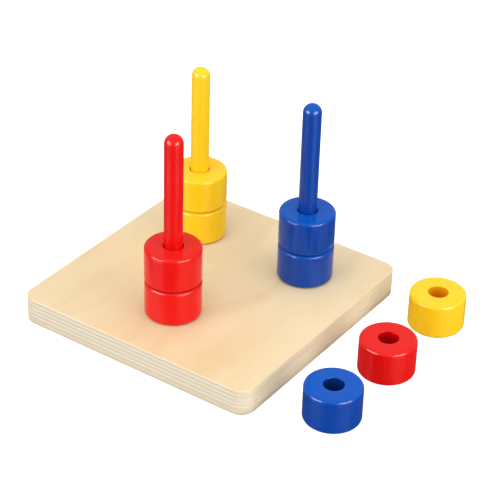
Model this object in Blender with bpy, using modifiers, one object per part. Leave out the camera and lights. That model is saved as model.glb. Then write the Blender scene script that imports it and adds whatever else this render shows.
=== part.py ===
"""Colour-sorting peg stacker: a square plywood board, three pegs and nine discs.

Metres, +Z up. The origin is the centre of the board's underside, which stands on z = 0.
Two discs stand on each peg. Three more stand in a row beside the board's +X side.
"""

import math

import bmesh
import bpy

OBJECT_NAME = "peg_stacker"
GAP = 0.0003               # left between solids that touch or are glued

# Board: birch plywood
BOARD_SIDE = 0.175
BOARD_THICKNESS = 0.018
CORNER_RADIUS = 0.010      # the four upright corners
EDGE_RADIUS = 0.0012       # eased top and bottom edges

# Pegs: painted dowels with a hemispherical tip, in blind sockets
PEG_RADIUS = 0.0060
PEG_CHAMFER = 0.0006
SOCKET_FLOOR = 0.006       # plywood left under a socket
PEG_OFFSET = 0.0427        # from the board's centre lines
PEG_PLACES = {
    "red": (0.0, -PEG_OFFSET),
    "yellow": (-PEG_OFFSET, PEG_OFFSET),
    "blue": (PEG_OFFSET, PEG_OFFSET),
}
PEG_HEIGHTS = {            # from the board's top to the tip, not quite equal
    "red": 0.1270,
    "yellow": 0.1235,
    "blue": 0.1255,
}

# Discs: turned, with a plain bore
DISC_RADIUS = 0.01825
DISC_HEIGHT = 0.0242
DISC_BORE = 0.0065
DISC_EDGE = 0.0022         # rounding of the rims
BORE_EDGE = 0.0004         # rounding of the bore's mouths
LOOSE_PLACES = {
    "red": (0.1285, 0.0070),
    "yellow": (0.1275, 0.0695),
    "blue": (0.1275, -0.0535),
}

# The bore is wider than the peg, so a stacked disc stands a little off its axis
STACK_SHIFT = 0.00015
STACK_DIRECTIONS = {       # direction of the shift, in degrees from +X
    "red": (100, 150),
    "yellow": (60, 150),
    "blue": (10, 100),
}

# Screws: countersunk, driven up from beneath into the pegs
SCREW_HEAD_RADIUS = 0.0038
SCREW_HEAD_RIM = 0.0003
SCREW_SHANK_RADIUS = 0.0019
SCREW_LENGTH = 0.028
SCREW_POINT = 0.004
SCREW_SINK = 0.0004        # how far the head lies below the underside
RECESS_LENGTH = 0.0042
RECESS_WIDTH = 0.0009
RECESS_DEPTH = 0.0013

ROUND_SEGMENTS = 36
SCREW_SEGMENTS = 20
ARC_STEPS = 3              # straight steps in each rounded rim
DOME_STEPS = 5

PAINTS = {
    "red": (0.86, 0.020, 0.016),
    "yellow": (0.93, 0.58, 0.020),
    "blue": (0.016, 0.070, 0.42),
}
BIRCH = (0.80, 0.62, 0.38)
STEEL = (0.62, 0.62, 0.60)


def clear_scene():
    for obj in list(bpy.data.objects):
        bpy.data.objects.remove(obj)


def make_collection(name):
    collection = bpy.data.collections.new(name)
    bpy.context.scene.collection.children.link(collection)
    return collection


def make_material(name, colour, roughness, metallic=0.0):
    material = bpy.data.materials.new(name)
    material.use_nodes = True
    shader = material.node_tree.nodes["Principled BSDF"]
    shader.inputs["Base Color"].default_value = (*colour, 1.0)
    shader.inputs["Roughness"].default_value = roughness
    shader.inputs["Metallic"].default_value = metallic
    return material


def arc(centre_r, centre_z, radius, start, end, steps):
    """Points of an arc in the (r, z) half plane, with angles in degrees from +r."""
    angles = [math.radians(start + (end - start) * i / steps) for i in range(steps + 1)]
    return [(centre_r + radius * math.cos(a), centre_z + radius * math.sin(a)) for a in angles]


def profile_mesh(name, points, closed):
    """A polyline in the XZ plane, to be turned about Z."""
    edges = [(i, i + 1) for i in range(len(points) - 1)]
    if closed:
        edges.append((len(points) - 1, 0))
    mesh = bpy.data.meshes.new(name)
    mesh.from_pydata([(r, 0.0, z) for r, z in points], edges, [])
    return mesh


def turn(name, mesh, segments, collection):
    """An object that turns a profile mesh into a solid about its own Z axis."""
    obj = bpy.data.objects.new(name, mesh)
    collection.objects.link(obj)
    screw = obj.modifiers.new("turn", "SCREW")
    screw.axis = "Z"
    screw.angle = 2.0 * math.pi
    screw.steps = segments
    screw.render_steps = segments
    screw.use_merge_vertices = True
    screw.merge_threshold = 0.00001
    screw.use_smooth_shade = True
    return obj


def cut(obj, cutter):
    """Cuts a guide object out of a solid and hides the guide."""
    cutter.hide_render = True
    cutter.display_type = "WIRE"
    boolean = obj.modifiers.new(cutter.name, "BOOLEAN")
    boolean.operation = "DIFFERENCE"
    boolean.solver = "EXACT"
    boolean.object = cutter


# ---- Board -------------------------------------------------------------------------------

def bevel_edges(mesh_data, edges, radius, segments):
    bmesh.ops.bevel(mesh_data, geom=edges, offset=radius, offset_type="OFFSET",
                    segments=segments, profile=0.5, affect="EDGES", clamp_overlap=True)


def make_board(collection):
    mesh_data = bmesh.new()
    bmesh.ops.create_cube(mesh_data, size=1.0)
    bmesh.ops.scale(mesh_data, vec=(BOARD_SIDE, BOARD_SIDE, BOARD_THICKNESS), verts=mesh_data.verts)
    bmesh.ops.translate(mesh_data, vec=(0.0, 0.0, BOARD_THICKNESS / 2.0), verts=mesh_data.verts)
    upright = [e for e in mesh_data.edges if abs(e.verts[0].co.z - e.verts[1].co.z) > GAP]
    bevel_edges(mesh_data, upright, CORNER_RADIUS, 6)
    level = [e for e in mesh_data.edges if abs(e.verts[0].co.z - e.verts[1].co.z) < GAP]
    bevel_edges(mesh_data, level, EDGE_RADIUS, ARC_STEPS)
    mesh = bpy.data.meshes.new("base_board")
    mesh_data.to_mesh(mesh)
    mesh_data.free()
    mesh.shade_smooth()
    mesh.set_sharp_from_angle(angle=math.radians(30.0))
    board = bpy.data.objects.new("base_board", mesh)
    collection.objects.link(board)
    return board


def socket_profile():
    """Peg socket, screw hole and countersink in one turned cutter, from top to bottom."""
    socket = PEG_RADIUS + GAP
    hole = SCREW_SHANK_RADIUS + GAP
    sink = SCREW_HEAD_RADIUS + GAP
    cone_foot = SCREW_SINK + SCREW_HEAD_RIM
    cone_top = cone_foot + sink - hole
    return [
        (0.0, BOARD_THICKNESS * 1.5),
        (socket, BOARD_THICKNESS * 1.5),
        (socket, SOCKET_FLOOR),
        (hole, SOCKET_FLOOR),
        (hole, cone_top),
        (sink, cone_foot),
        (sink, -BOARD_THICKNESS * 0.5),
        (0.0, -BOARD_THICKNESS * 0.5),
    ]


# ---- Pegs --------------------------------------------------------------------------------

def peg_profile(height):
    """Dome, side, foot and the screw's pilot hole, in the peg's own height."""
    foot = SOCKET_FLOOR + GAP - BOARD_THICKNESS
    pilot = SCREW_SHANK_RADIUS + GAP
    pilot_top = SCREW_SINK + SCREW_LENGTH + GAP - BOARD_THICKNESS
    dome = arc(0.0, height - PEG_RADIUS, PEG_RADIUS, 90.0, 0.0, DOME_STEPS)
    dome[0] = (0.0, height)
    return dome + [
        (PEG_RADIUS, foot + PEG_CHAMFER),
        (PEG_RADIUS - PEG_CHAMFER, foot),
        (pilot, foot),
        (pilot, pilot_top - SCREW_POINT),
        (0.0, pilot_top),
    ]


# ---- Discs -------------------------------------------------------------------------------

def disc_profile():
    """A ring section, clockwise from the top of the bore, with every rim rounded."""
    outer = DISC_RADIUS - DISC_EDGE
    inner = DISC_BORE + BORE_EDGE
    top = DISC_HEIGHT
    return (
        arc(inner, top - BORE_EDGE, BORE_EDGE, 180.0, 90.0, 1)
        + arc(outer, top - DISC_EDGE, DISC_EDGE, 90.0, 0.0, ARC_STEPS)
        + arc(outer, DISC_EDGE, DISC_EDGE, 0.0, -90.0, ARC_STEPS)
        + arc(inner, BORE_EDGE, BORE_EDGE, -90.0, -180.0, 1)
    )


def stack_shift(colour, level):
    angle = math.radians(STACK_DIRECTIONS[colour][level])
    return STACK_SHIFT * math.cos(angle), STACK_SHIFT * math.sin(angle)


def make_discs(colour, material, collection):
    """Two stacked discs, the upper one carried by the lower, and a loose one."""
    mesh = profile_mesh("disc_" + colour, disc_profile(), closed=True)
    mesh.materials.append(material)
    lower, upper, loose = [
        turn("disc_{}_{}".format(colour, place), mesh, ROUND_SEGMENTS, collection)
        for place in ("lower", "upper", "loose")
    ]
    peg_x, peg_y = PEG_PLACES[colour]
    low_x, low_y = stack_shift(colour, 0)
    high_x, high_y = stack_shift(colour, 1)
    lower.location = (peg_x + low_x, peg_y + low_y, BOARD_THICKNESS + GAP)
    upper.parent = lower
    upper.location = (high_x - low_x, high_y - low_y, DISC_HEIGHT + GAP)
    loose.location = (*LOOSE_PLACES[colour], 0.0)


# ---- Screws ------------------------------------------------------------------------------

def screw_profile():
    """Point, shank and countersunk head, from the point down to the head's flat face."""
    cone = SCREW_HEAD_RIM + SCREW_HEAD_RADIUS - SCREW_SHANK_RADIUS
    return [
        (0.0, SCREW_LENGTH),
        (SCREW_SHANK_RADIUS, SCREW_LENGTH - SCREW_POINT),
        (SCREW_SHANK_RADIUS, cone),
        (SCREW_HEAD_RADIUS, SCREW_HEAD_RIM),
        (SCREW_HEAD_RADIUS, 0.0),
        (0.0, 0.0),
    ]


def make_recess_blade(name, size, place, collection):
    mesh_data = bmesh.new()
    bmesh.ops.create_cube(mesh_data, size=1.0)
    bmesh.ops.scale(mesh_data, vec=size, verts=mesh_data.verts)
    mesh = bpy.data.meshes.new(name)
    mesh_data.to_mesh(mesh)
    mesh_data.free()
    blade = bpy.data.objects.new(name, mesh)
    blade.location = place
    collection.objects.link(blade)
    return blade


def make_screw(colour, mesh, collection, cutters):
    """A screw under one peg, with a cross recess in its head."""
    screw = turn("screw_" + colour, mesh, SCREW_SEGMENTS, collection)
    screw.location = (*PEG_PLACES[colour], SCREW_SINK)
    long_blade = (RECESS_LENGTH, RECESS_WIDTH, 2.0 * RECESS_DEPTH)
    cross_blade = (RECESS_WIDTH, RECESS_LENGTH, 2.0 * RECESS_DEPTH)
    cut(screw, make_recess_blade("recess_x_" + colour, long_blade, screw.location, cutters))
    cut(screw, make_recess_blade("recess_y_" + colour, cross_blade, screw.location, cutters))


# ---- Assembly ----------------------------------------------------------------------------

def main():
    clear_scene()
    parts = make_collection(OBJECT_NAME)
    cutters = make_collection("cutters")

    board = make_board(parts)
    board.data.materials.append(make_material("birch", BIRCH, 0.45))
    socket_mesh = profile_mesh("socket", socket_profile(), closed=False)

    steel = make_material("steel", STEEL, 0.35, metallic=1.0)
    screw_mesh = profile_mesh("screw", screw_profile(), closed=False)
    screw_mesh.materials.append(steel)

    for colour, (peg_x, peg_y) in PEG_PLACES.items():
        paint = make_material("paint_" + colour, PAINTS[colour], 0.25)

        socket = turn("socket_" + colour, socket_mesh, ROUND_SEGMENTS, cutters)
        socket.location = (peg_x, peg_y, 0.0)
        cut(board, socket)

        profile = peg_profile(PEG_HEIGHTS[colour])
        peg_mesh = profile_mesh("peg_" + colour, profile, closed=False)
        peg_mesh.materials.append(paint)
        peg = turn("peg_" + colour, peg_mesh, ROUND_SEGMENTS, parts)
        peg.location = (peg_x, peg_y, BOARD_THICKNESS)

        make_screw(colour, screw_mesh, parts, cutters)
        make_discs(colour, paint, parts)


main()
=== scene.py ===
"""Looks of the colour peg stacker: turned painted pegs and discs on a birch plywood board.

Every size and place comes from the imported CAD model, or from the few named values below.
Metres, +Z up, in the CAD's own frame.
"""

import math

import bmesh
import bpy
from mathutils import Matrix, Vector


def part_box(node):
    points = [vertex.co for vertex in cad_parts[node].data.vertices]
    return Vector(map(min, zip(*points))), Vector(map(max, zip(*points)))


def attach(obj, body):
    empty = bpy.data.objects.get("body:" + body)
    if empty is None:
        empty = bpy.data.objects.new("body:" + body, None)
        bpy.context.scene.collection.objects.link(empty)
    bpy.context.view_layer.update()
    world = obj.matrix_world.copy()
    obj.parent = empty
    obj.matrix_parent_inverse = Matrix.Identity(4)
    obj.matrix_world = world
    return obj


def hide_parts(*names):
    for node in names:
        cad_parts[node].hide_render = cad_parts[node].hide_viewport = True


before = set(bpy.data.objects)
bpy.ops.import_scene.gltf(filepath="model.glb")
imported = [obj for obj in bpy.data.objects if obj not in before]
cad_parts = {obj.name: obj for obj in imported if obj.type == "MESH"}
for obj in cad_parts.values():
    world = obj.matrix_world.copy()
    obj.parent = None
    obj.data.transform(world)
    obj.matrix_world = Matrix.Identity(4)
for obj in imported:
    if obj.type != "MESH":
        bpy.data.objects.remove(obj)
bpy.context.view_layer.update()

MM = 0.001
COLOURS = ("red", "yellow", "blue")
PLACES = ("lower", "upper", "loose")

# Board: 13 plies of birch, the two faces thinner than the rest because they are sanded
PLY_COUNT = 13
FACE_PLY = 0.8 * MM
GLUE_LINE = 0.10 * MM
GLUE_DEPTH = 0.05 * MM
CROSS_PLY_DEPTH = 0.02 * MM
BOARD_CORNER = 10.0 * MM
BOARD_EDGE = 0.7 * MM
BOARD_SHARP = 50.0
CORNER_STEPS = 16
EDGE_STEPS = 8
SOCKET_SEGMENTS = 64

# Distances from a glue line's middle, in its widths: the rings by it, the farthest ring that
# stands in its groove, and the farthest band that shows glue
GLUE_RINGS = (-0.8, -0.5, 0.5, 0.8)
GROOVE_REACH = 0.6
GLUE_REACH = 0.5

# Bands of the board's side in the order of its materials. Plies count from 1 at the bottom.
BANDS = ("face", "odd", "even", "glue")

# Pegs and their fixings
PEG_CHAMFER = 0.6 * MM
PEG_SEGMENTS = 96
DOME_STEPS = 24
SHAFT_STEPS = 24
PILOT_RADIUS = 2.2 * MM
SOCKET_FLOOR = 6.0 * MM
SOCKET_PLAY = 0.3 * MM

# Discs
DISC_HEIGHT = 24.2 * MM
DISC_BORE = 6.5 * MM
DISC_EDGE = 2.2 * MM
BORE_EDGE = 0.4 * MM
DISC_SEGMENTS = 128
RIM_STEPS = 12
MOUTH_STEPS = 6
END_STEPS = 5
SIDE_STEPS = 10

# Screws
SCREW_SINK = 0.4 * MM
SCREW_HEAD_RIM = 0.3 * MM
HEAD_CHAMFER = 0.15 * MM
THREAD_CORE = 1.35 * MM
THREAD_OUTER = 1.9 * MM
THREAD_PITCH = 1.6 * MM
THREAD_START = 7.0 * MM
THREAD_FLANK = 3.2
THREAD_ROWS = 210
SCREW_POINT = 4.0 * MM
SCREW_SEGMENTS = 32
SCREW_SHARP = 25.0
RECESS_LENGTH = 4.2 * MM
RECESS_WIDTH = 0.9 * MM
RECESS_DEPTH = 1.5 * MM
RECESS_TAPER = 0.55

# Camera, in degrees, metres and millimetres of lens
CAMERA_AZIMUTH = 34.09
CAMERA_ELEVATION = 32.74
CAMERA_ROLL = 1.80
CAMERA_DISTANCE = 1.208
CAMERA_LENS = 134.4
CAMERA_SENSOR = 36.0
CAMERA_CLIP = (0.05, 50.0)
AIM_RIGHT = 0.0234
AIM_UP = 0.0206

# Studio, with radiances where 1.0 is white
WORLD_DIFFUSE = 0.50
WORLD_GLOSSY = 0.68
WORLD_SEEN = 0.97
FLOOR_HALF = 6.0
FLOOR_DROP = 0.02 * MM
FLOOR_DARKER = 0.5292
FLOOR_PALER = 0.54
FLOOR_MIRRORED = 0.08
FLOOR_SEEN = 0.80
LIGHTS_AIM = (0.02, 0.0, 0.03)
STRIP_RADIANCE = 21.0

# Paint. The painted shade colour of a bore also tints the mottling of the rest.
# Painted shading: each colour's sides and ends get different colours, standing in for the
# different light on them
SIDE_SHADED_PAINTS = {
    "red": (0.76, 0.003, 0.002),
    "yellow": (0.94, 0.60, 0.010),
    "blue": (0.001, 0.051, 0.335),
}
END_SHADED_PAINTS = {
    "red": (0.68, 0.010, 0.008),
    "yellow": (0.94, 0.570, 0.020),
    "blue": (0.001, 0.079, 0.43),
}
BORE_SHADE_AND_MOTTLE_PAINTS = {
    "red": (0.50, 0.002, 0.002),
    "yellow": (0.82, 0.24, 0.004),
    "blue": (0.001, 0.026, 0.16),
}
PAINT_IOR = 1.30
PAINT_RELIEF = 0.015 * MM
MOTTLE_AMOUNT = 0.06

# Painted shade inside a bore: it comes in between two radii just past a peg's side, and goes out
# between two just past the bore's wall
SHADE_IN = (6.15 * MM, 6.25 * MM)
SHADE_OUT = (DISC_BORE + 0.1 * MM, DISC_BORE + 0.3 * MM)
BORE_MOUTH_DEPTH = 0.5 * MM
BORE_MOUTH_SHADE = 0.45
BORE_SHADE_DEPTH = 9.0 * MM

# Birch
FACE_PALE = (0.750, 0.622, 0.402)
FACE_WARM = (0.705, 0.520, 0.290)
FACE_DEEP = (0.563, 0.383, 0.208)
TONE_BACK = 60.0 * MM
TONE_FRONT = -70.0 * MM
# Ply colours by which way the edge faces: the real end and side grain, with painted light that
# makes the sides facing X lighter
PLY_ALONG = {
    "end_grain_and_lighting": (0.80, 0.70, 0.55),
    "side_grain_and_lighting": (0.94, 0.81, 0.56),
    "deep": (0.70, 0.60, 0.43),
}
PLY_ACROSS = {
    "end_grain_and_lighting": (0.92, 0.79, 0.53),
    "side_grain_and_lighting": (0.62, 0.54, 0.41),
    "deep": (0.66, 0.55, 0.38),
}
# Painted shade on the ply edges towards each ply's deep tone: strongest up to the first height,
# gone by the second
FOOT_SHADE_LOW = 2.5 * MM
FOOT_SHADE_HIGH = 5.0 * MM
GLUE_DARK = (0.42, 0.31, 0.20)
GLUE_PALE = (0.58, 0.45, 0.31)

# Zinc-plated steel
STEEL_DARK = (0.56, 0.56, 0.55)
STEEL_PALE = (0.70, 0.70, 0.68)

# Noise scales along X, Y and Z, in cells per metre
PAINT_MOTTLE = (60.0, 60.0, 25.0)
PAINT_GRAIN = (700.0, 700.0, 30.0)
PAINT_TURNING = (90.0, 90.0, 900.0)
FACE_WANDER = (14.0, 9.0, 1.0)
FACE_BANDS = (55.0, 6.0, 1.0)
FACE_CLOUDS = (24.0, 13.0, 1.0)
FACE_CLOUDS_SHIFT = (0.3, 0.7, 0.0)
PLY_CLOUDS = (12.0, 12.0, 420.0)
GLUE_SPOTS = (500.0, 500.0, 1.0)
STEEL_MARKS = (4000.0, 4000.0, 9000.0)
FLOOR_CLOUDS = (2.0, 2.0, 2.0)
FIBRES_ACROSS = 900.0
FACE_FIBRES_ALONG = 45.0
PLY_FIBRES_ALONG = 40.0

# Most values of a noise lie between these two
NOISE_RANGE = (0.3, 0.7)


# ---- Mesh tools --------------------------------------------------------------------------

def arc(centre_r, centre_z, radius, start, end, steps):
    """Points of an arc in the (r, z) half plane, with angles in degrees from +r."""
    angles = [math.radians(start + (end - start) * i / steps) for i in range(steps + 1)]
    return [(centre_r + radius * math.cos(a), centre_z + radius * math.sin(a)) for a in angles]


def straight(start, end, steps):
    """Points strictly between two profile points."""
    (r0, z0), (r1, z1) = start, end
    return [(r0 + (r1 - r0) * i / steps, z0 + (z1 - z0) * i / steps) for i in range(1, steps)]


def circle(radius, segments):
    """Points (x, y) round a circle, anticlockwise from +X."""
    angles = [2.0 * math.pi * i / segments for i in range(segments)]
    return [(radius * math.cos(a), radius * math.sin(a)) for a in angles]


def add_ring(mesh_data, outline, z):
    """Vertices of a level ring through the (x, y) points of an outline."""
    return [mesh_data.verts.new((x, y, z)) for x, y in outline]


def join_rings(mesh_data, below, above):
    """A band of quads between two rings of the same length. Returns its faces."""
    count = len(below)
    faces = []
    for i in range(count):
        j = (i + 1) % count
        faces.append(mesh_data.faces.new((below[i], below[j], above[j], above[i])))
    return faces


def make_object(name, mesh_data, place=(0.0, 0.0, 0.0), sharp=40.0):
    """A smooth-shaded object, with the edges past the sharp angle in degrees kept crisp."""
    mesh = bpy.data.meshes.new(name)
    mesh_data.to_mesh(mesh)
    mesh_data.free()
    mesh.shade_smooth()
    mesh.set_sharp_from_angle(angle=math.radians(sharp))
    obj = bpy.data.objects.new(name, mesh)
    obj.location = place
    bpy.context.scene.collection.objects.link(obj)
    return obj


def turned(profile, segments, closed=False):
    """A profile of (r, z) points turned about Z. Points on the axis become single vertices."""
    on_axis = 1e-7
    mesh_data = bmesh.new()
    rings = []
    for r, z in profile:
        outline = [(0.0, 0.0)] if r < on_axis else circle(r, segments)
        rings.append(add_ring(mesh_data, outline, z))
    pairs = list(zip(rings, rings[1:]))
    if closed:
        pairs.append((rings[-1], rings[0]))
    for above, below in pairs:
        for i in range(segments):
            j = (i + 1) % segments
            corners = [above[i % len(above)], below[i % len(below)],
                       below[j % len(below)], above[j % len(above)]]
            face = list(dict.fromkeys(corners))
            if len(face) > 2:
                mesh_data.faces.new(face)
    bmesh.ops.recalc_face_normals(mesh_data, faces=mesh_data.faces)
    return mesh_data


def cut_away(obj, cutters, sharp):
    """Applies a Boolean difference for each cutter, and removes the cutters."""
    for cutter in cutters:
        boolean = obj.modifiers.new(cutter.name, "BOOLEAN")
        boolean.operation = "DIFFERENCE"
        boolean.solver = "EXACT"
        boolean.object = cutter
    bpy.context.view_layer.update()
    graph = bpy.context.evaluated_depsgraph_get()
    old = obj.data
    obj.data = bpy.data.meshes.new_from_object(obj.evaluated_get(graph))
    obj.modifiers.clear()
    bpy.data.meshes.remove(old)
    for cutter in cutters:
        bpy.data.objects.remove(cutter)
    obj.data.set_sharp_from_angle(angle=math.radians(sharp))


def centre_of(node):
    """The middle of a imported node's box."""
    low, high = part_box(node)
    return (low + high) / 2.0


def radius_of(node):
    """Half the width of an imported round node along X."""
    low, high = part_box(node)
    return (high.x - low.x) / 2.0


# ---- Node tools --------------------------------------------------------------------------

def rgb(red, green, blue):
    return (red, green, blue, 1.0)


def grey(value):
    return rgb(value, value, value)


class Shader:
    """A material under construction. Most calls add one node and return its output."""

    def __init__(self, name):
        self.material = bpy.data.materials.new(name)
        self.material.use_nodes = True
        self.tree = self.material.node_tree
        self.principled = self.tree.nodes["Principled BSDF"]

    def put(self, socket, value):
        """Links a node's output to a socket, or sets the socket to a plain value."""
        if isinstance(value, bpy.types.NodeSocket):
            self.tree.links.new(value, socket)
        else:
            socket.default_value = value

    def add(self, kind, output=0, settings=None, **inputs):
        node = self.tree.nodes.new("ShaderNode" + kind)
        for key, value in (settings or {}).items():
            setattr(node, key, value)
        for key, value in inputs.items():
            self.put(node.inputs[key.replace("_", " ")], value)
        return node.outputs[output]

    def set(self, **values):
        """Sets or links inputs of the Principled BSDF."""
        for key, value in values.items():
            self.put(self.principled.inputs[key.replace("_", " ")], value)

    def position(self, scale=(1.0, 1.0, 1.0), offset=(0.0, 0.0, 0.0)):
        """Object coordinates in metres, scaled to cells per metre along each axis."""
        where = self.add("TexCoord", "Object")
        return self.add("Mapping", Vector=where, Scale=scale, Location=offset)

    def component(self, vector, axis):
        """One of a vector's three components, by the name of its axis."""
        return self.add("SeparateXYZ", "xyz".index(axis), Vector=vector)

    def noise(self, where, detail=2.0, roughness=0.5, distortion=0.0, output="Fac"):
        return self.add("TexNoise", output, Vector=where, Scale=1.0, Detail=detail,
                        Roughness=roughness, Distortion=distortion)

    def remap(self, value, low, high, to_low=0.0, to_high=1.0):
        node = self.tree.nodes.new("ShaderNodeMapRange")
        for i, x in enumerate((value, low, high, to_low, to_high)):
            self.put(node.inputs[i], x)
        return node.outputs[0]

    def maths(self, operation, first, second=0.0):
        node = self.tree.nodes.new("ShaderNodeMath")
        node.operation = operation
        self.put(node.inputs[0], first)
        self.put(node.inputs[1], second)
        return node.outputs[0]

    def mix(self, factor, first, second, blend="MIX"):
        node = self.tree.nodes.new("ShaderNodeMix")
        node.data_type = "RGBA"
        node.blend_type = blend
        self.put(node.inputs[0], factor)
        self.put(node.inputs[6], first)
        self.put(node.inputs[7], second)
        return node.outputs[2]

    def bump(self, height, distance, strength, under=None):
        node = self.tree.nodes.new("ShaderNodeBump")
        self.put(node.inputs["Height"], height)
        node.inputs["Distance"].default_value = distance
        node.inputs["Strength"].default_value = strength
        if under is not None:
            self.put(node.inputs["Normal"], under)
        return node.outputs[0]


# ---- Materials ---------------------------------------------------------------------------

def painted_bore_shade(shader):
    """Painted shade mask: 0 outside a disc's bore. Inside it the value rises from the mouth
    inwards, up to 1.
    """
    across = shader.add("VectorMath", 1, {"operation": "LENGTH"},
                        Vector=shader.position((1.0, 1.0, 0.0)))
    past_peg = shader.remap(across, *SHADE_IN)
    near_wall = shader.remap(across, *SHADE_OUT, 1.0, 0.0)
    inside = shader.maths("MULTIPLY", past_peg, near_wall)
    height = shader.component(shader.position(), "z")
    from_middle = shader.maths("ABSOLUTE", shader.maths("SUBTRACT", height, DISC_HEIGHT / 2.0))
    depth = shader.maths("SUBTRACT", DISC_HEIGHT / 2.0, from_middle)
    deep = shader.remap(depth, BORE_MOUTH_DEPTH, BORE_SHADE_DEPTH, BORE_MOUTH_SHADE, 1.0)
    return shader.maths("MULTIPLY", inside, deep)


def paint_relief(shader):
    """Wood grain along the piece, just felt through the paint, and faint turning marks."""
    grain = shader.noise(shader.position(PAINT_GRAIN), detail=3.0, distortion=0.3)
    turning = shader.noise(shader.position(PAINT_TURNING), detail=1.0)
    relief = shader.bump(grain, PAINT_RELIEF, 0.35)
    return shader.bump(turning, PAINT_RELIEF, 0.5, under=relief)


def make_paint(name, side_shaded_colour, end_shaded_colour, bore_shade_and_mottle_colour):
    """Gloss paint over turned wood, with painted shading that gives its ends and sides different
    colours.

    In a bore a painted shade darkens the paint from the mouth inwards.
    """
    shader = Shader(name)
    # painted shading: ends take the end colour, sides the side colour
    end_shade_mask = shader.maths("ABSOLUTE", shader.component(shader.add("TexCoord", "Normal"), "z"))
    colour = shader.mix(end_shade_mask, rgb(*side_shaded_colour), rgb(*end_shaded_colour))
    mottle = shader.noise(shader.position(PAINT_MOTTLE), detail=3.0)
    tint = shader.maths("MULTIPLY", shader.remap(mottle, *NOISE_RANGE), MOTTLE_AMOUNT)
    base = shader.mix(tint, colour, rgb(*bore_shade_and_mottle_colour))
    # painted shade: the paint darkens towards the bore colour deeper in a bore
    base = shader.mix(painted_bore_shade(shader), base, rgb(*bore_shade_and_mottle_colour))
    rough = shader.remap(mottle, *NOISE_RANGE, 0.14, 0.20)
    shader.set(Base_Color=base, Roughness=rough, Normal=paint_relief(shader), IOR=PAINT_IOR)
    return shader.material


def wood_grain(shader, along, run):
    """Fine fibre streaks that run along one axis, with so many cells per metre along it."""
    scale = [FIBRES_ACROSS, FIBRES_ACROSS, FIBRES_ACROSS]
    scale["xyz".index(along)] = run
    return shader.noise(shader.position(scale), detail=4.0, roughness=0.6, distortion=0.2)


def veneer_tone(shader):
    """Soft clouds over a slow change from pale at the back to warm at the front."""
    clouds = shader.noise(shader.position(FACE_CLOUDS, FACE_CLOUDS_SHIFT), detail=2.0)
    forward = shader.remap(shader.component(shader.position(), "y"), TONE_BACK, TONE_FRONT)
    return shader.maths("ADD", shader.maths("MULTIPLY", shader.remap(clouds, 0.38, 0.66), 0.5),
                        shader.maths("MULTIPLY", forward, 0.5))


def veneer_bands(shader):
    """Growth bands along Y that wander a little from side to side."""
    wander = shader.noise(shader.position(FACE_WANDER), detail=2.0, output="Color")
    bent = shader.mix(0.04, shader.position(), wander, "LINEAR_LIGHT")
    stretched = shader.add("Mapping", Vector=bent, Scale=FACE_BANDS)
    return shader.noise(stretched, detail=3.0)


def make_face_veneer():
    """Rotary-cut birch under satin lacquer, with its grain along Y."""
    shader = Shader("birch_face")
    bands = shader.remap(veneer_bands(shader), 0.50, 0.78, 0.0, 0.30)
    fibres = wood_grain(shader, "y", FACE_FIBRES_ALONG)
    streaks = shader.remap(fibres, 0.54, 0.78, 0.0, 0.16)
    colour = shader.mix(veneer_tone(shader), rgb(*FACE_PALE), rgb(*FACE_WARM))
    colour = shader.mix(bands, colour, rgb(*FACE_DEEP))
    colour = shader.mix(streaks, colour, rgb(*FACE_DEEP))
    rough = shader.remap(fibres, *NOISE_RANGE, 0.42, 0.54)
    shader.set(Base_Color=colour, Roughness=rough, Normal=shader.bump(fibres, 0.03 * MM, 0.4))
    return shader.material


def make_ply(name, along, end_grain_and_lighting, side_grain_and_lighting, deep):
    """The sawn and sanded edge of a ply: end grain where its fibres meet the surface, and painted
    light that makes its sides facing X lighter.

    Painted shade darkens the lowest plies towards the deep tone.
    """
    shader = Shader(name)
    fibres = wood_grain(shader, along, PLY_FIBRES_ALONG)
    clouds = shader.noise(shader.position(PLY_CLOUDS), detail=2.0)
    facing = shader.component(shader.add("TexCoord", "Normal"), along)
    height = shader.component(shader.position(), "z")
    streaks = shader.remap(fibres, 0.35, 0.75, 0.0, 0.18)
    patches = shader.remap(clouds, 0.42, 0.62, 0.0, 0.35)
    # painted shade towards the board's underside
    foot = shader.remap(height, FOOT_SHADE_LOW, FOOT_SHADE_HIGH, 0.9, 0.0)
    # painted light with the grain: each face takes a colour by which way it faces
    colour = shader.mix(shader.maths("ABSOLUTE", facing), rgb(*side_grain_and_lighting), rgb(*end_grain_and_lighting))
    for amount in (streaks, patches, foot):
        colour = shader.mix(amount, colour, rgb(*deep))
    shader.set(Base_Color=colour, Roughness=0.5, Normal=shader.bump(fibres, 0.06 * MM, 0.5))
    return shader.material


def make_glue_line():
    """The thin brown line of glue between two plies, a little spotty."""
    shader = Shader("glue_line")
    spots = shader.noise(shader.position(GLUE_SPOTS), detail=2.0)
    colour = shader.mix(spots, rgb(*GLUE_DARK), rgb(*GLUE_PALE))
    shader.set(Base_Color=colour, Roughness=0.6)
    return shader.material


def make_screw_steel():
    """Zinc-plated steel with fine turning marks."""
    shader = Shader("screw_steel")
    marks = shader.noise(shader.position(STEEL_MARKS), detail=2.0)
    colour = shader.mix(marks, rgb(*STEEL_DARK), rgb(*STEEL_PALE))
    rough = shader.remap(marks, *NOISE_RANGE, 0.28, 0.42)
    shader.set(Base_Color=colour, Roughness=rough, Metallic=1.0,
               Normal=shader.bump(marks, 0.01 * MM, 0.4))
    return shader.material


# ---- Board -------------------------------------------------------------------------------

def ply_joints(thickness):
    """Heights of the glue lines between the plies."""
    inner = (thickness - 2.0 * FACE_PLY) / (PLY_COUNT - 2)
    return [FACE_PLY + inner * i for i in range(PLY_COUNT - 1)]


def ply_at(z, joints):
    """Number of the ply at a height, counted from 1 at the bottom."""
    return 1 + sum(1 for joint in joints if joint < z)


def from_glue(z, joints):
    """Distance from a height to the nearest glue line."""
    return min(abs(z - joint) for joint in joints)


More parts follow.
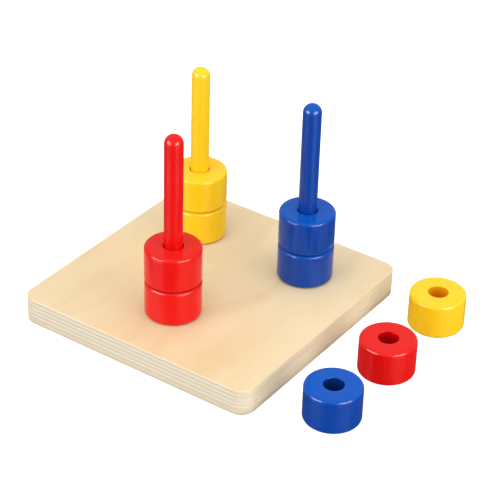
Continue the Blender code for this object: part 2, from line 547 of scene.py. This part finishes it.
def eased_inset(z, thickness):
    """How far the rounded top and bottom edges stand in from the side."""
    depth = BOARD_EDGE - min(z, thickness - z)
    if depth <= 0.0:
        return 0.0
    return BOARD_EDGE - math.sqrt(max(BOARD_EDGE ** 2 - depth ** 2, 0.0))


def ring_heights(thickness, joints):
    """Heights of the rings up the board's side: at its rounded edges and by each glue line."""
    heights = {0.0, thickness}
    for i in range(EDGE_STEPS + 1):
        rise = BOARD_EDGE * (1.0 - math.cos(math.radians(90.0 * i / EDGE_STEPS)))
        heights.update((rise, thickness - rise))
    for joint in joints:
        heights.update(joint + step * GLUE_LINE for step in GLUE_RINGS)
    return sorted(heights)


def ring_inset(z, thickness, joints):
    """How far a ring stands in: glue lines are grooves, and even plies are sanded deeper."""
    inset = eased_inset(z, thickness)
    if from_glue(z, joints) < GROOVE_REACH * GLUE_LINE:
        return inset + GLUE_DEPTH
    if ply_at(z, joints) % 2 == 0:
        return inset + CROSS_PLY_DEPTH
    return inset


def band_at(z, joints):
    """Name of the band that a height on the board's side lies in."""
    if from_glue(z, joints) < GLUE_REACH * GLUE_LINE:
        return "glue"
    ply = ply_at(z, joints)
    if ply in (1, PLY_COUNT):
        return "face"
    return "even" if ply % 2 == 0 else "odd"


def square_outline(half, corner):
    """A square with rounded corners, anticlockwise."""
    points = []
    for quarter in range(4):
        middle = math.radians(45.0 + 90.0 * quarter)
        reach = (half - corner) * math.sqrt(2.0)
        centre_x = reach * math.cos(middle)
        centre_y = reach * math.sin(middle)
        for i in range(CORNER_STEPS + 1):
            turn = math.radians(90.0 * (quarter + i / CORNER_STEPS))
            points.append((centre_x + corner * math.cos(turn), centre_y + corner * math.sin(turn)))
    return points


def board_mesh(half, base, thickness):
    """The plain board before its sockets, with one material slot for each kind of band."""
    joints = ply_joints(thickness)
    heights = ring_heights(thickness, joints)
    mesh_data = bmesh.new()
    rings = []
    for z in heights:
        inset = ring_inset(z, thickness, joints)
        outline = square_outline(half - inset, BOARD_CORNER - inset)
        rings.append(add_ring(mesh_data, outline, base + z))
    for i in range(len(rings) - 1):
        band = band_at((heights[i] + heights[i + 1]) / 2.0, joints)
        for face in join_rings(mesh_data, rings[i], rings[i + 1]):
            face.material_index = BANDS.index(band)
    mesh_data.faces.new(rings[-1])
    mesh_data.faces.new(list(reversed(rings[0])))
    return mesh_data


def socket_profile(thickness, peg_radius, head_radius):
    """Peg socket, screw hole and countersink in one turned cutter, from top to bottom."""
    socket = peg_radius + SOCKET_PLAY
    sink = head_radius + SOCKET_PLAY
    cone_foot = SCREW_SINK + SCREW_HEAD_RIM
    above_board = thickness * 1.5
    below_board = -thickness * 0.5
    return [
        (0.0, above_board),
        (socket, above_board),
        (socket, SOCKET_FLOOR),
        (PILOT_RADIUS, SOCKET_FLOOR),
        (PILOT_RADIUS, cone_foot + sink - PILOT_RADIUS),
        (sink, cone_foot),
        (sink, below_board),
        (0.0, below_board),
    ]


def socket_cutters(thickness):
    """One turned cutter at each peg's place."""
    profile = socket_profile(thickness, radius_of("peg_red"), radius_of("screw_red"))
    cutters = []
    for colour in COLOURS:
        middle = centre_of("peg_" + colour)
        shape = turned(profile, SOCKET_SEGMENTS)
        cutters.append(make_object("socket_" + colour, shape, (middle.x, middle.y, 0.0)))
    return cutters


def make_board(materials):
    low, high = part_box("base_board")
    thickness = high.z - low.z
    shape = board_mesh((high.x - low.x) / 2.0, low.z, thickness)
    board = make_object("board", shape, sharp=BOARD_SHARP)
    for material in materials:
        board.data.materials.append(material)
    cut_away(board, socket_cutters(thickness), BOARD_SHARP)
    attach(board, "board")
    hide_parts("base_board")


# ---- Pegs, discs and screws --------------------------------------------------------------

def peg_profile(radius, height, pilot_top):
    """Half a dowel's section from its round tip down to the pointed pilot hole in its foot."""
    shoulder = (radius, height - radius)
    foot = (radius, PEG_CHAMFER)
    dome = arc(0.0, height - radius, radius, 90.0, 0.0, DOME_STEPS)
    dome[0] = (0.0, height)
    return dome + straight(shoulder, foot, SHAFT_STEPS) + [
        foot,
        (radius - PEG_CHAMFER, 0.0),
        (PILOT_RADIUS, 0.0),
        (PILOT_RADIUS, pilot_top - SCREW_POINT),
        (0.0, pilot_top),
    ]


def make_peg(colour, material):
    node = "peg_" + colour
    low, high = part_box(node)
    screw_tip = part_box("screw_" + colour)[1].z
    profile = peg_profile(radius_of(node), high.z - low.z, screw_tip + SOCKET_PLAY - low.z)
    middle = centre_of(node)
    place = (middle.x, middle.y, low.z)
    peg = make_object("dowel_" + colour, turned(profile, PEG_SEGMENTS), place)
    peg.data.materials.append(material)
    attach(peg, "board")
    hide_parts(node)


def disc_profile(radius, height):
    """A ring section, clockwise from the top of the bore, with every rim rounded."""
    outer = radius - DISC_EDGE
    inner = DISC_BORE + BORE_EDGE
    top_rim = arc(outer, height - DISC_EDGE, DISC_EDGE, 90.0, 0.0, RIM_STEPS)
    low_rim = arc(outer, DISC_EDGE, DISC_EDGE, 0.0, -90.0, RIM_STEPS)
    top_mouth = arc(inner, height - BORE_EDGE, BORE_EDGE, 180.0, 90.0, MOUTH_STEPS)
    low_mouth = arc(inner, BORE_EDGE, BORE_EDGE, -90.0, -180.0, MOUTH_STEPS)
    return (top_mouth + straight(top_mouth[-1], top_rim[0], END_STEPS)
            + top_rim + straight(top_rim[-1], low_rim[0], SIDE_STEPS)
            + low_rim + straight(low_rim[-1], low_mouth[0], END_STEPS)
            + low_mouth + straight(low_mouth[-1], top_mouth[0], SIDE_STEPS))


def make_disc(colour, place, material):
    node = "disc_{}_{}".format(colour, place)
    low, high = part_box(node)
    profile = disc_profile(radius_of(node), high.z - low.z)
    middle = centre_of(node)
    disc = make_object("bead_{}_{}".format(colour, place),
                       turned(profile, DISC_SEGMENTS, closed=True),
                       (middle.x, middle.y, low.z))
    disc.data.materials.append(material)
    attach(disc, "{}_{}".format(colour, place))
    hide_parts(node)


def thread_radius(turn, z, length):
    """Radius of a cut thread's surface, as a sharp ridge that climbs once per pitch."""
    phase = (z / THREAD_PITCH - turn) % 1.0
    ridge = max(0.0, 1.0 - abs(phase - 0.5) * THREAD_FLANK)
    taper = min(1.0, (length - z) / SCREW_POINT)
    grown = min(1.0, max(0.0, (z - THREAD_START) / THREAD_PITCH))
    return (THREAD_CORE + (THREAD_OUTER - THREAD_CORE) * ridge * grown) * taper


def thread_outline(z, length):
    """The shank's outline at one height, as (x, y) points."""
    points = []
    for i in range(SCREW_SEGMENTS):
        angle = 2.0 * math.pi * i / SCREW_SEGMENTS
        radius = thread_radius(i / SCREW_SEGMENTS, z, length)
        points.append((radius * math.cos(angle), radius * math.sin(angle)))
    return points


def screw_mesh(head, length):
    """A screw that stands on its head: the flat, the countersink cone, the thread, the point."""
    mesh_data = bmesh.new()
    rim = [(head - HEAD_CHAMFER, 0.0), (head, HEAD_CHAMFER), (head, SCREW_HEAD_RIM)]
    rings = [add_ring(mesh_data, circle(r, SCREW_SEGMENTS), z) for r, z in rim]
    neck = SCREW_HEAD_RIM + head - THREAD_CORE
    for k in range(THREAD_ROWS):
        z = neck + (length - neck) * k / THREAD_ROWS
        rings.append(add_ring(mesh_data, thread_outline(z, length), z))
    for below, above in zip(rings, rings[1:]):
        join_rings(mesh_data, below, above)
    mesh_data.faces.new(list(reversed(rings[0])))
    tip = mesh_data.verts.new((0.0, 0.0, length))
    last = rings[-1]
    for i in range(SCREW_SEGMENTS):
        mesh_data.faces.new((last[i], last[(i + 1) % SCREW_SEGMENTS], tip))
    return mesh_data


def recess_cutter(name, width, depth, place):
    """One bar of the cross recess, narrower at its bottom. Half its height is in the head."""
    mesh_data = bmesh.new()
    bmesh.ops.create_cube(mesh_data, size=1.0)
    bmesh.ops.scale(mesh_data, vec=(width, depth, 2.0 * RECESS_DEPTH), verts=mesh_data.verts)
    for vert in mesh_data.verts:
        if vert.co.z > 0.0:
            vert.co.x *= RECESS_TAPER
            vert.co.y *= RECESS_TAPER
    return make_object(name, mesh_data, place)


def make_screw(colour, material):
    """A countersunk screw: a cross-recessed head and a threaded shank with a point."""
    node = "screw_" + colour
    low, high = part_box(node)
    middle = centre_of(node)
    place = (middle.x, middle.y, low.z)
    shape = screw_mesh(radius_of(node), high.z - low.z)
    screw = make_object("fixing_" + colour, shape, place, sharp=SCREW_SHARP)
    recess = [
        recess_cutter("recess_x", RECESS_LENGTH, RECESS_WIDTH, place),
        recess_cutter("recess_y", RECESS_WIDTH, RECESS_LENGTH, place),
    ]
    cut_away(screw, recess, SCREW_SHARP)
    screw.data.materials.append(material)
    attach(screw, "board")
    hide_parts(node)


# ---- Studio ------------------------------------------------------------------------------

def view_axes(azimuth, elevation):
    """Unit vectors back towards the viewer, to their right and up, for a level viewer."""
    a, e = math.radians(azimuth), math.radians(elevation)
    back = Vector((math.sin(a) * math.cos(e), -math.cos(a) * math.cos(e), math.sin(e)))
    right = Vector((math.cos(a), math.sin(a), 0.0))
    return back, right, back.cross(right)


def make_camera():
    back, right, up = view_axes(CAMERA_AZIMUTH, CAMERA_ELEVATION)
    centre = centre_of("base_board")
    board_top = Vector((centre.x, centre.y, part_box("base_board")[1].z))
    target = board_top + right * AIM_RIGHT + up * AIM_UP
    roll = math.radians(CAMERA_ROLL)
    tilted_right = right * math.cos(roll) + up * math.sin(roll)
    tilted_up = up * math.cos(roll) - right * math.sin(roll)
    axes = Matrix((tilted_right, tilted_up, back)).transposed().to_4x4()
    data = bpy.data.cameras.new("camera")
    data.lens = CAMERA_LENS
    data.sensor_width = CAMERA_SENSOR
    data.clip_start, data.clip_end = CAMERA_CLIP
    camera = bpy.data.objects.new("camera", data)
    camera.matrix_world = Matrix.Translation(target + back * CAMERA_DISTANCE) @ axes
    bpy.context.scene.collection.objects.link(camera)
    bpy.context.scene.camera = camera


def make_world():
    """Even light from all round, brighter in reflections. The camera sees it as near white."""
    world = bpy.data.worlds.new("studio")
    world.use_nodes = True
    tree = world.node_tree
    background = tree.nodes["Background"]
    background.inputs["Color"].default_value = grey(1.0)
    rays = tree.nodes.new("ShaderNodeLightPath")
    reflected = tree.nodes.new("ShaderNodeMix")
    strength = tree.nodes.new("ShaderNodeMix")
    tree.links.new(rays.outputs["Is Glossy Ray"], reflected.inputs["Factor"])
    reflected.inputs["A"].default_value = WORLD_DIFFUSE
    reflected.inputs["B"].default_value = WORLD_GLOSSY
    tree.links.new(rays.outputs["Is Camera Ray"], strength.inputs["Factor"])
    tree.links.new(reflected.outputs[0], strength.inputs["A"])
    strength.inputs["B"].default_value = WORLD_SEEN
    tree.links.new(strength.outputs[0], background.inputs["Strength"])
    bpy.context.scene.world = world


def make_floor_white():
    """Mid grey to the light it bounces back, dark in reflections, near white to the camera."""
    shader = Shader("floor_white")
    clouds = shader.noise(shader.position(FLOOR_CLOUDS), detail=1.0)
    colour = shader.mix(clouds, grey(FLOOR_DARKER), grey(FLOOR_PALER))
    mirrored = shader.add("LightPath", "Is Glossy Ray")
    colour = shader.mix(mirrored, colour, grey(FLOOR_MIRRORED))
    seen = shader.add("LightPath", "Is Camera Ray")
    glow = shader.maths("MULTIPLY", seen, FLOOR_SEEN)
    shader.set(Base_Color=colour, Roughness=0.36, Emission_Color=grey(1.0), Emission_Strength=glow)
    return shader.material


def make_floor():
    """A wide level floor just under the underside of the board and the loose discs."""
    mesh_data = bmesh.new()
    bmesh.ops.create_grid(mesh_data, x_segments=1, y_segments=1, size=FLOOR_HALF)
    floor = make_object("floor", mesh_data, (0.0, 0.0, -FLOOR_DROP))
    floor.data.materials.append(make_floor_white())


def add_softbox(name, azimuth, elevation, distance, width, height, radiance):
    """An area light that faces the board. Azimuth is counted from the camera, to its right."""
    back, _, _ = view_axes(CAMERA_AZIMUTH + azimuth, elevation)
    data = bpy.data.lights.new(name, "AREA")
    data.shape = "RECTANGLE"
    data.size = width
    data.size_y = height
    data.energy = radiance * math.pi * width * height
    light = bpy.data.objects.new(name, data)
    light.location = Vector(LIGHTS_AIM) + back * distance
    light.rotation_euler = back.to_track_quat("Z", "Y").to_euler()
    bpy.context.scene.collection.objects.link(light)
    return light


def make_strips():
    """Bright boxes on both sides of the camera, which the gloss paint reflects as highlights."""
    for name, azimuth in (("strip_left", -60.0), ("strip_right", 42.0)):
        strip = add_softbox(name, azimuth, elevation=20.0, distance=1.3,
                            width=1.0, height=0.60, radiance=STRIP_RADIANCE)
        strip.visible_diffuse = False


def make_fills():
    """Large soft boxes that light the surfaces and aren't seen in reflections."""
    fills = (
        add_softbox("fill_left", -50.0, elevation=36.0, distance=1.6,
                    width=1.6, height=1.2, radiance=1.6),
        add_softbox("fill_right", 66.0, elevation=22.0, distance=1.6,
                    width=1.6, height=1.2, radiance=1.9),
        add_softbox("overhead", 0.0, elevation=84.0, distance=1.8,
                    width=2.4, height=2.4, radiance=1.5),
    )
    for fill in fills:
        fill.visible_glossy = False


def make_studio():
    make_world()
    make_floor()
    make_strips()
    make_fills()
    bpy.context.scene.view_settings.view_transform = "Standard"


# ---- Assembly ----------------------------------------------------------------------------

make_camera()
make_studio()
make_board([
    make_face_veneer(),
    make_ply("ply_along", "y", **PLY_ALONG),
    make_ply("ply_across", "x", **PLY_ACROSS),
    make_glue_line(),
])
steel = make_screw_steel()
for colour in COLOURS:
    paint = make_paint("paint_" + colour, SIDE_SHADED_PAINTS[colour], END_SHADED_PAINTS[colour],
                       BORE_SHADE_AND_MOTTLE_PAINTS[colour])
    make_peg(colour, paint)
    make_screw(colour, steel)
    for place in PLACES:
        make_disc(colour, place, paint)
